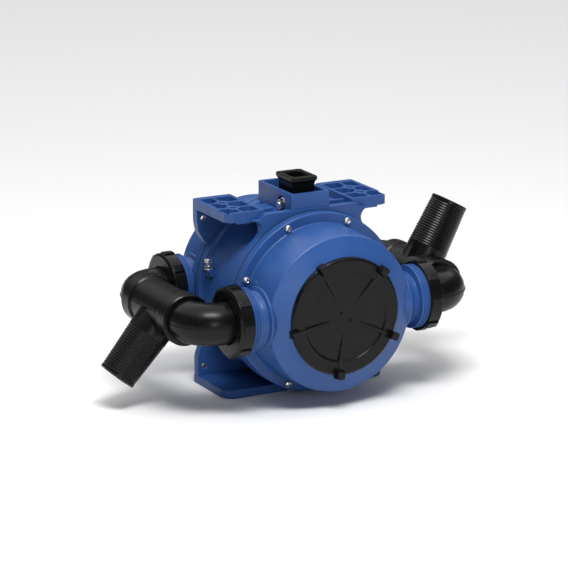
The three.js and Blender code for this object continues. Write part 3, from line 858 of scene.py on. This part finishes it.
def lid(side):
    """Screwed cap: sunk centre, raised rim, a skirt down the mouth and ribs that end in tall lugs."""
    face = LID_FACE
    skirt_r = MOUTH_R - 0.6
    axis = lid_axis(side)
    cap = turned([
        (0, face - 2.5),
        (59.2, face - 2.3, 1.5),
        (61.6, face, 1.2),
        (76.6, face, 2.4),
        (LID_R, face - 2.4, 1.6),
        (LID_R, MOUTH_FACE + 0.4),
        (SEAL_R[1] + 0.5, MOUTH_FACE + 0.4),
        (SEAL_R[1] + 0.5, SEAL_D[1] + GAP),
        (skirt_r, SEAL_D[1] + GAP),
        (skirt_r, MOUTH_FACE - 13, 0.8),
        (61.5, MOUTH_FACE - 13, 0.8),
        (60, face - 7.5, 1.5),
        (0, face - 7.5),
    ], axis)
    parts = []
    for a in LUG_ANGLES:
        out = axis @ Matrix.Rotation(a if side < 0 else pi + a, 4, "Z")
        parts += [lid_rib(out), *lid_lug(out)]
    dimple = [(0, face - 4), (1.6, face - 4), (2.6, face - 1.9), (0, face - 1.9)]
    dimples = [
        turned(dimple, axis @ Matrix.Translation((9 * cos(a), 9 * sin(a), 0)), 24)
        for a in around(2, -0.75)
    ]
    return cut(join(cap, *parts), *dimples)


def lid_seal(side):
    """Rubber ring between the lid and the mouth."""
    return turned(rectangle(SEAL_R, SEAL_D, 0.6), lid_axis(side))


for end, side in ENDS.items():
    place(end + "_chamber_fine", chamber(side), "pump_body", BLUE, end + "_chamber")
    place(end + "_lid_fine", lid(side), end + "_lid", BLACK, end + "_lid")
    place(end + "_lid_seal_fine", lid_seal(side), "pump_body", RUBBER, end + "_lid_seal")


# ---------------------------------------------------------------- fasteners
def pan_screw():
    """Pan-headed screw along local Z, its seat at zero, with a cross recess."""
    body = turned([
        (0, 3.7),
        (2.2, 3.7, 2),
        (4.4, 2.6, 1.5),
        (5, 0.5, 0.5),
        (5, 0),
        (2.9, 0),
        (2.9, -27),
        (1.8, -28.2),
        (0, -28.2),
    ], None, SCREW)
    recess = []
    for turn in (0, pi / 2):
        sections = [
            [(-x, -y, z), (x, -y, z), (x, y, z), (-x, y, z)]
            for x, y, z in ((0.7, 0.3, 1.4), (2.4, 0.5, 3.4), (2.9, 0.6, 4.5))
        ]
        recess.append(loft(sections, Matrix.Rotation(turn, 4, "Z")))
    return cut(body, *recess)


def hexagon(radius, z0, z1):
    """Hexagonal head or nut along local Z, its corners eased by a cone at the top."""
    blank = prism(circle(radius, 6), (z0, z1))
    flat = radius * cos(pi / 6)
    low, shoulder, top = z0 - 1, z1 - 1.6, z1 + 0.05
    cone = turned([(0, low), (radius + 1, low), (radius + 1, shoulder), (flat, top), (0, top)], None, BOLT)
    return combine(blank, [cone], "INTERSECT")


def ledge_bolt():
    """Bolt along local Z with a washer and a lock nut on its seat at zero, and its head above them."""
    washer = turned([(0, 0), (6.2, 0, 0.4), (6.2, 1.2, 0.5), (0, 1.4)], None, HOLE)
    return join(washer, hexagon(5.8, 1, 5.5), hexagon(5.8, 8.5, 15), rod(3, -9, 10))


screw = pan_screw()
for end, side in ENDS.items():
    for i in range(SCREW_COUNT):
        node = f"{end}_screw_{i + 1}"
        low, high = box(node)
        seat = ((low.x + high.x) / 2, side * (FLANGE_FACE + GAP), (low.z + high.z) / 2)
        where = frame_of((0, side, 0), seat) @ Matrix.Rotation(0.7 * i, 4, "Z")
        place(node + "_fine", moved(copied(screw), where), "pump_body", STEEL, node)

for name, side in (("right_ledge_bolt", 1), ("left_ledge_bolt", -1)):
    seat = Matrix.Translation((side * LEDGE_BOLT.x, LEDGE_BOLT.y, LEDGE_BOLT.z))
    place(name + "_fine", moved(ledge_bolt(), seat), "pump_body", STEEL, name)


# ---------------------------------------------------------------- ports and pipework
def union_nut():
    """Union nut along local Z, with eight low grip lugs and an inner lip."""
    x0, x1 = UNION_X
    bore_r, lip_r = THREAD_R + 0.6, ELBOW_R + 1
    ring = turned([
        (bore_r, x0),
        (UNION_R, x0, 0.8),
        (UNION_R, x1 - 2, 1.5),
        (UNION_R - 3.5, x1, 2),
        (lip_r, x1, 0.8),
        (lip_r, x1 - 3),
        (bore_r, x1 - 3),
    ], None, TUBE)
    grips = [
        block((UNION_R - 2, UNION_R + 2), (-6, 6), (x0 + 1, x1 - 3), 0.9, Matrix.Rotation(a, 4, "Z"))
        for a in around(8)
    ]
    return join(ring, *grips)


def union_seal():
    """Flat ring between a port's end and the elbow's flange, along local Z."""
    return turned(rectangle((30, 39), (PORT_END + GAP, PORT_END + GAP + 1.6), 0.4), None, PIPE)


def bend_points():
    """Centre line of the front right elbow, as (point, direction), out of the port and round to the tee."""
    corner = Vector((TEE_X - BEND_R, BEND_R - PORT_Y))
    line = [(Vector((ELBOW_START, -PORT_Y)), Vector((1, 0)))]
    for k in range(BEND_STEPS + 1):
        a = pi / 2 * (k / BEND_STEPS - 1)
        line.append((corner + BEND_R * Vector((cos(a), sin(a))), Vector((-sin(a), cos(a)))))
    line.append((Vector((TEE_X, -48)), Vector((0, 1))))
    return line


def swept(outline, line):
    """An outline swept along a line: its first coordinate lies in the bend's plane, its second is up."""
    sections = []
    for point, direction in line:
        aside = Vector((direction.y, -direction.x))
        sections.append([(*(point + aside * u), v) for u, v in outline])
    return loft(sections)


def elbow():
    """Plain bend with a flange held by the union nut, and a parting line between the nut and the tee."""
    line = bend_points()
    tube = swept(circle(ELBOW_R), line)
    rim = ELBOW_R + 1.0
    bead = swept([(-ELBOW_R, -0.5), (-ELBOW_R, 0.5), (rim, 0.5), (rim, -0.5)], line[1:-1])
    x0, x1 = ELBOW_START, ELBOW_START + 2.8
    flange_axis = frame_of((1, 0, 0), (0, -PORT_Y, 0))
    flange = turned([(20, x0), (40, x0, 0.5), (40, x1, 0.5), (20, x1)], flange_axis, PIPE)
    (first, ahead), (last, onward) = line[0], line[-1]
    bore = swept(circle(ELBOW_BORE_R), [(first - ahead * 2, ahead), *line, (last + onward * 2, onward)])
    return cut(join(tube, bead, flange), bore)


def tail_outline():
    """Hose tail along local Z from the tee: a plain root, then tapering sawtooth barbs up to the mouth."""
    outline = [(0, 0), (TAIL_ROOT_R, 0), (TAIL_ROOT_R, 42, 1)]
    for k in range(BARBS):
        s = BARB_START + BARB_PITCH * k
        r = TAIL_ROOT_R + (TAIL_R - TAIL_ROOT_R) * (k + 1) / BARBS
        outline += [(r - 0.6, s - 0.3, 0.2), (r, s + 0.6, 0.3), (r, s + 1.4, 0.3)]
    return outline + [(TAIL_R, TAIL_END - 1, 0.4), (TAIL_R - 0.8, TAIL_END), (0, TAIL_END)]


def tee_bores(centre, along, out):
    """Cutters for a tee: its way through, a socket for each elbow, and the bore of its tail."""
    mouth = [
        (0, 0), (TAIL_BORE_R, 0), (TAIL_BORE_R, TAIL_END - 1.5), (TAIL_BORE_R + 1.5, TAIL_END + 0.2),
        (0, TAIL_END + 0.2),
    ]
    return [
        rod(23, -60, 60, along, PIPE),
        *[rod(ELBOW_R + 0.4, 46, 70, frame_of((0, s, 0), centre), PIPE) for s in (-1, 1)],
        turned(mouth, out, PIPE),
    ]


def tee(turn_deg, up):
    """Cross-tube along Y with a collar at each end, and a tail turned outwards from straight up or down."""
    centre = (up * TEE_X, 0, AXIS_Z)
    along = frame_of((0, 1, 0), centre)
    cross = turned([
        (0, -TEE_HALF),
        (COLLAR_R - 1.5, -TEE_HALF),
        (COLLAR_R, 1.5 - TEE_HALF),
        (COLLAR_R, -COLLAR_IN, 1.2),
        (CROSS_R, 2.5 - COLLAR_IN, 1.5),
        (CROSS_R, COLLAR_IN - 2.5, 1.5),
        (COLLAR_R, COLLAR_IN, 1.2),
        (COLLAR_R, TEE_HALF - 1.5),
        (COLLAR_R - 1.5, TEE_HALF),
        (0, TEE_HALF),
    ], along, TUBE)
    bead = turned([(30, -31), (32.3, -31, 0.2), (32.3, -30, 0.2), (30, -30)], along, TUBE)
    a = radians(turn_deg)
    out = frame_of((up * sin(a), 0, up * cos(a)), centre)
    tail = turned(tail_outline(), out, SHEET)
    return cut(join(cross, tail, bead), *tee_bores(centre, along, out))


for name, (x, y) in PORTS.items():
    axis = port_axis(x, y)
    bend = Matrix.Translation((0, 0, AXIS_Z)) @ Matrix.Diagonal((x, -y, 1, 1))
    place(name + "_union_nut_fine", moved(union_nut(), axis), name + "_union_nut", BLACK, name + "_union_nut")
    place(name + "_union_seal_fine", moved(union_seal(), axis), "pump_body", RUBBER, name + "_union_seal")
    place(name + "_elbow_fine", moved(elbow(), bend), "pump_body", BLACK, name + "_elbow")

place("inlet_tee_fine", tee(INLET_ANGLE, -1), "inlet_tee", BLACK, "inlet_tee")
place("outlet_tee_fine", tee(OUTLET_ANGLE, 1), "outlet_tee", BLACK, "outlet_tee")


# ---------------------------------------------------------------- lever
def loft_up(shape, where):
    """Solid through rounded rectangles, each given as half width, half length, height and corner radius."""
    return loft([level(rectangle((-x, x), (-y, y), corner), z) for x, y, z, corner in shape], where)


def lever_socket():
    """Rectangular socket with a flared, rounded rim, and a hub on each side for the fulcrum pin."""
    at = Matrix.Translation((0, SOCKET_Y, PIVOT.z))
    hub = rod(11, -18.8, 18.8, FULCRUM, HUB, 1.0)
    room = [
        loft_up(SOCKET_MOUTH, at),
        rod(9.1, -10.3, 10.3, FULCRUM, HUB),
        block((-8.3, 8.3), (PIVOT.y - 7.3, PIVOT.y + 7.3), (PIVOT.z - 14, PIVOT.z), 0),
        rod(PIN_R + GAP, -25, 25, FULCRUM),
    ]
    return cut(join(loft_up(SOCKET_SHAPE, at), hub), *room)


def rocker_arm():
    """Cast arm: a hub on the fulcrum pin, a bar and a fork round the drive pin."""
    reach = PIVOT.z - AXIS_Z
    at = Matrix.Translation(PIVOT)
    parts = [
        rod(8.7, -10, 10, FULCRUM, HUB, 0.6),
        block((-8, 8), (-7, 7), (-88, 0), 2.0, at),
        block((-19, 19), (-8, 8), (-98, -84), 2.0, at),
        *[block((13 * s, 19 * s), (-8, 8), (-reach - 14, -90), 1.2, at) for s in (-1, 1)],
    ]
    hole_r = PIN_R + GAP
    slot = block((-20, 20), (-hole_r, hole_r), (-reach - PIN_R - 2.6, -reach + PIN_R + 2.6), 0, at)
    return cut(join(*parts), slot, rod(hole_r, -25, 25, FULCRUM))


def fulcrum_parts():
    """The fulcrum's pin with its head on the right, and its washer and nut on the left."""
    left = frame_of((-1, 0, 0), PIVOT)
    hole_r = PIN_R + GAP
    pin = join(rod(PIN_R, -34, 25, FULCRUM, HOLE, 0.8), moved(hexagon(7.5, 24.3, 29), FULCRUM))
    washer = turned([(hole_r, 24.3), (9.5, 24.3, 0.4), (9.5, 26, 0.4), (hole_r, 26)], left, BOLT)
    nut = cut(moved(hexagon(7.5, 26.3, 32.5), left), rod(hole_r, 20, 40, left))
    return {"fulcrum_pin": pin, "fulcrum_washer": washer, "fulcrum_nut": nut}


place("lever_socket_fine", lever_socket(), "lever", BLACK, "lever_socket")
place("rocker_arm_fine", rocker_arm(), "lever", ALUMINIUM, "rocker_arm")
for node, made in fulcrum_parts().items():
    place(node + "_fine", made, "lever", STEEL, node)


# ---------------------------------------------------------------- rod, plates and diaphragms
DRIVE = frame_of((1, 0, 0), (0, PIVOT.y, AXIS_Z))  # the drive pin's axis


def clamp_plate(side, base, rise):
    """Dished disc that clamps the rubber at a depth of base, with a rolled edge."""
    hole_r = STUD_R + GAP
    return turned([
        (hole_r, base),
        (PLATE_R, base, 0.6),
        (PLATE_R - 1, base + rise * 0.5, 1),
        (46, base + rise * 0.62, 6),
        (20, base + rise, 4),
        (hole_r, base + rise),
    ], lid_axis(side))


def rod_nut(side):
    """Nut that holds the outer plate on the rod's stud."""
    nut = hexagon(10, FLANGE_IN + 5, FLANGE_IN + 12)
    return moved(cut(nut, rod(STUD_R + GAP, 50, 80)), lid_axis(side))


def connecting_rod():
    """Rod with a threaded stud at each end, and the drive block for the arm's pin in its middle."""
    end = FLANGE_IN + 13
    shoulder = HOUSING_HALF - 5
    half = [
        (0, end), (STUD_R - 1, end), (STUD_R, end - 1), (STUD_R, shoulder), (7, shoulder), (8, shoulder - 1),
    ]
    bar = turned([(r, -h) for r, h in half] + half[::-1], lid_axis(1), BOLT)
    drive = block((-12, 12), (PIVOT.y - 10, PIVOT.y + 10), (AXIS_Z - 12, AXIS_Z + 12), 1.5)
    return cut(join(bar, drive), rod(PIN_R + GAP, -20, 20, DRIVE))


def roll_height(r):
    """Depth of the rubber's dry face at radius r: flat where it is clamped, and rolled between."""
    t = min(1, max(0, (r - ROLL_R[0]) / (ROLL_R[1] - ROLL_R[0])))
    return HOUSING_HALF + GAP + ROLL_DEPTH * sin(pi * t) ** 1.5


def rubber_outline(r0, r1, steps):
    """Section of the rubber between two radii, as (radius, depth) corners."""
    radii = [r0 + (r1 - r0) * k / steps for k in range(steps + 1)]
    dry = [(r, roll_height(r)) for r in radii]
    return dry + [(r, h + RUBBER_T) for r, h in reversed(dry)]


def roll_sector(side, first):
    """One sector of the rolling part, from the angle first."""
    outline = rubber_outline(*ROLL_R, ROLL_STEPS)
    angles = around(SHEET, first)[:SECTOR_STEPS + 1]
    return loft([[(r * cos(a), r * sin(a), h) for r, h in outline] for a in angles], lid_axis(side))


def make_diaphragm(end, side):
    """Rubber disc: its centre rides on the rod, its rim is clamped, and its rolled sectors lie between them.
    """
    node = end + "_diaphragm"
    axis = lid_axis(side)
    centre = turned(rubber_outline(STUD_R + GAP, ROLL_R[0], 2), axis, SHEET)
    place(node + "_centre", centre, "diaphragm_rod", RUBBER, node)
    rim = turned(rubber_outline(ROLL_R[1], FLANGE_R - 0.6, 1), axis, SHEET)
    place(node + "_rim", cut(rim, *screw_holes(side, 50, 75)), "pump_body", RUBBER, node)
    for k, first in enumerate(around(SECTORS)):
        piece = add(f"{node}_roll_{k + 1}", roll_sector(side, first), RUBBER, node)
        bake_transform(piece)


for end, side in ENDS.items():
    make_diaphragm(end, side)
    outer = clamp_plate(side, FLANGE_IN, PLATE_RISE)
    inner = clamp_plate(side, HOUSING_HALF, -PLATE_RISE)
    place(end + "_outer_plate_fine", outer, "diaphragm_rod", ALUMINIUM, end + "_outer_plate")
    place(end + "_inner_plate_fine", inner, "diaphragm_rod", ALUMINIUM, end + "_inner_plate")
    place(end + "_rod_nut_fine", rod_nut(side), "diaphragm_rod", STEEL, end + "_rod_nut")

place("connecting_rod_fine", connecting_rod(), "diaphragm_rod", STEEL, "connecting_rod")
place("drive_pin_fine", rod(PIN_R, -20, 20, DRIVE, HOLE, 0.8), "diaphragm_rod", STEEL, "drive_pin")


# ---------------------------------------------------------------- valve flaps
def flap(seat_x, y):
    """Rubber flap with its hinge bar at the top and a round weight, facing +X."""
    at = Matrix.Translation((seat_x, y, AXIS_Z))
    along = frame_of((1, 0, 0), (seat_x, y, AXIS_Z))
    hinge_z = 24.5
    disc = turned([
        (0, 0),
        (23, 0, 0.8),
        (23, 2.7, 0.8),
        (18, 2.7, 0.5),
        (16.5, 2.2, 0.5),
        (0, 2.2),
    ], along, HUB)
    bar = rod(1.8, -6, 6, frame_of((0, 1, 0), (seat_x + 2.1, y, AXIS_Z + hinge_z)), 24, 0.4)
    strap = block((0, 2.7), (-7, 7), (15, hinge_z), 0.6, at)
    weight = rod(12, 1.7, 6.7, along, 56, 1.2)
    return join(disc, bar, strap, weight)


for end, side in ENDS.items():
    for kind, seat in (("inlet", GAP - SEAT_X[0]), ("outlet", SEAT_X[1] + GAP)):
        node = f"{end}_{kind}_flap"
        place(node + "_fine", flap(seat, side * PORT_Y), node, RUBBER, node)


# ---------------------------------------------------------------- studio, in metres and watts
FLOOR_HALF = 12
FLOOR_Z = -0.0005  # just below the foot
LIGHTS = {  # position, size and power of each soft box
    "key": ((-0.35, -0.85, 1.9), (0.9, 0.5), 34),
    "top": ((0.4, 1.5, 5.0), (11.0, 9.0), 400),
    "front_fill": ((-0.7, -2.9, 0.9), (0.9, 0.9), 11),
}
LIT_POINT = Vector((0, 0, 0.13))


def pale_material():
    material = bpy.data.materials.new("pale_floor")
    material.use_nodes = True
    shader = material.node_tree.nodes["Principled BSDF"]
    shader.inputs["Base Color"].default_value = (0.9, 0.9, 0.9, 1)
    shader.inputs["Roughness"].default_value = 0.9
    shader.inputs["Specular IOR Level"].default_value = 0.1
    return material


def make_floor():
    mesh = bmesh.new()
    bmesh.ops.create_grid(mesh, x_segments=2, y_segments=2, size=FLOOR_HALF)
    floor = solid(mesh)
    floor.name = "floor"
    floor.location.z = FLOOR_Z
    floor.data.materials.append(pale_material())
    bpy.context.scene.collection.objects.link(floor)


def area_light(name, position, size, power):
    """A soft box that faces the middle of the pump."""
    data = bpy.data.lights.new(name, "AREA")
    data.shape = "RECTANGLE"
    data.size, data.size_y = size
    data.energy = power
    light = bpy.data.objects.new(name, data)
    light.location = position
    light.rotation_euler = (LIT_POINT - Vector(position)).to_track_quat("-Z", "Y").to_euler()
    bpy.context.scene.collection.objects.link(light)


def make_world(seen, cast):
    """White surroundings: seen is their brightness as a backdrop, cast is how much light they give."""
    world = bpy.data.worlds.new("studio")
    world.use_nodes = True
    nodes = world.node_tree.nodes
    background = nodes["Background"]
    background.inputs["Color"].default_value = (1, 1, 1, 1)
    path = nodes.new("ShaderNodeLightPath")
    strength = nodes.new("ShaderNodeMapRange")
    strength.inputs["To Min"].default_value = cast
    strength.inputs["To Max"].default_value = seen
    world.node_tree.links.new(path.outputs["Is Camera Ray"], strength.inputs["Value"])
    world.node_tree.links.new(strength.outputs["Result"], background.inputs["Strength"])
    bpy.context.scene.world = world


make_floor()
make_world(seen=1.0, cast=0.11)
for name, (position, size, power) in LIGHTS.items():
    area_light(name, position, size, power)
bpy.context.scene.view_settings.view_transform = "Standard"
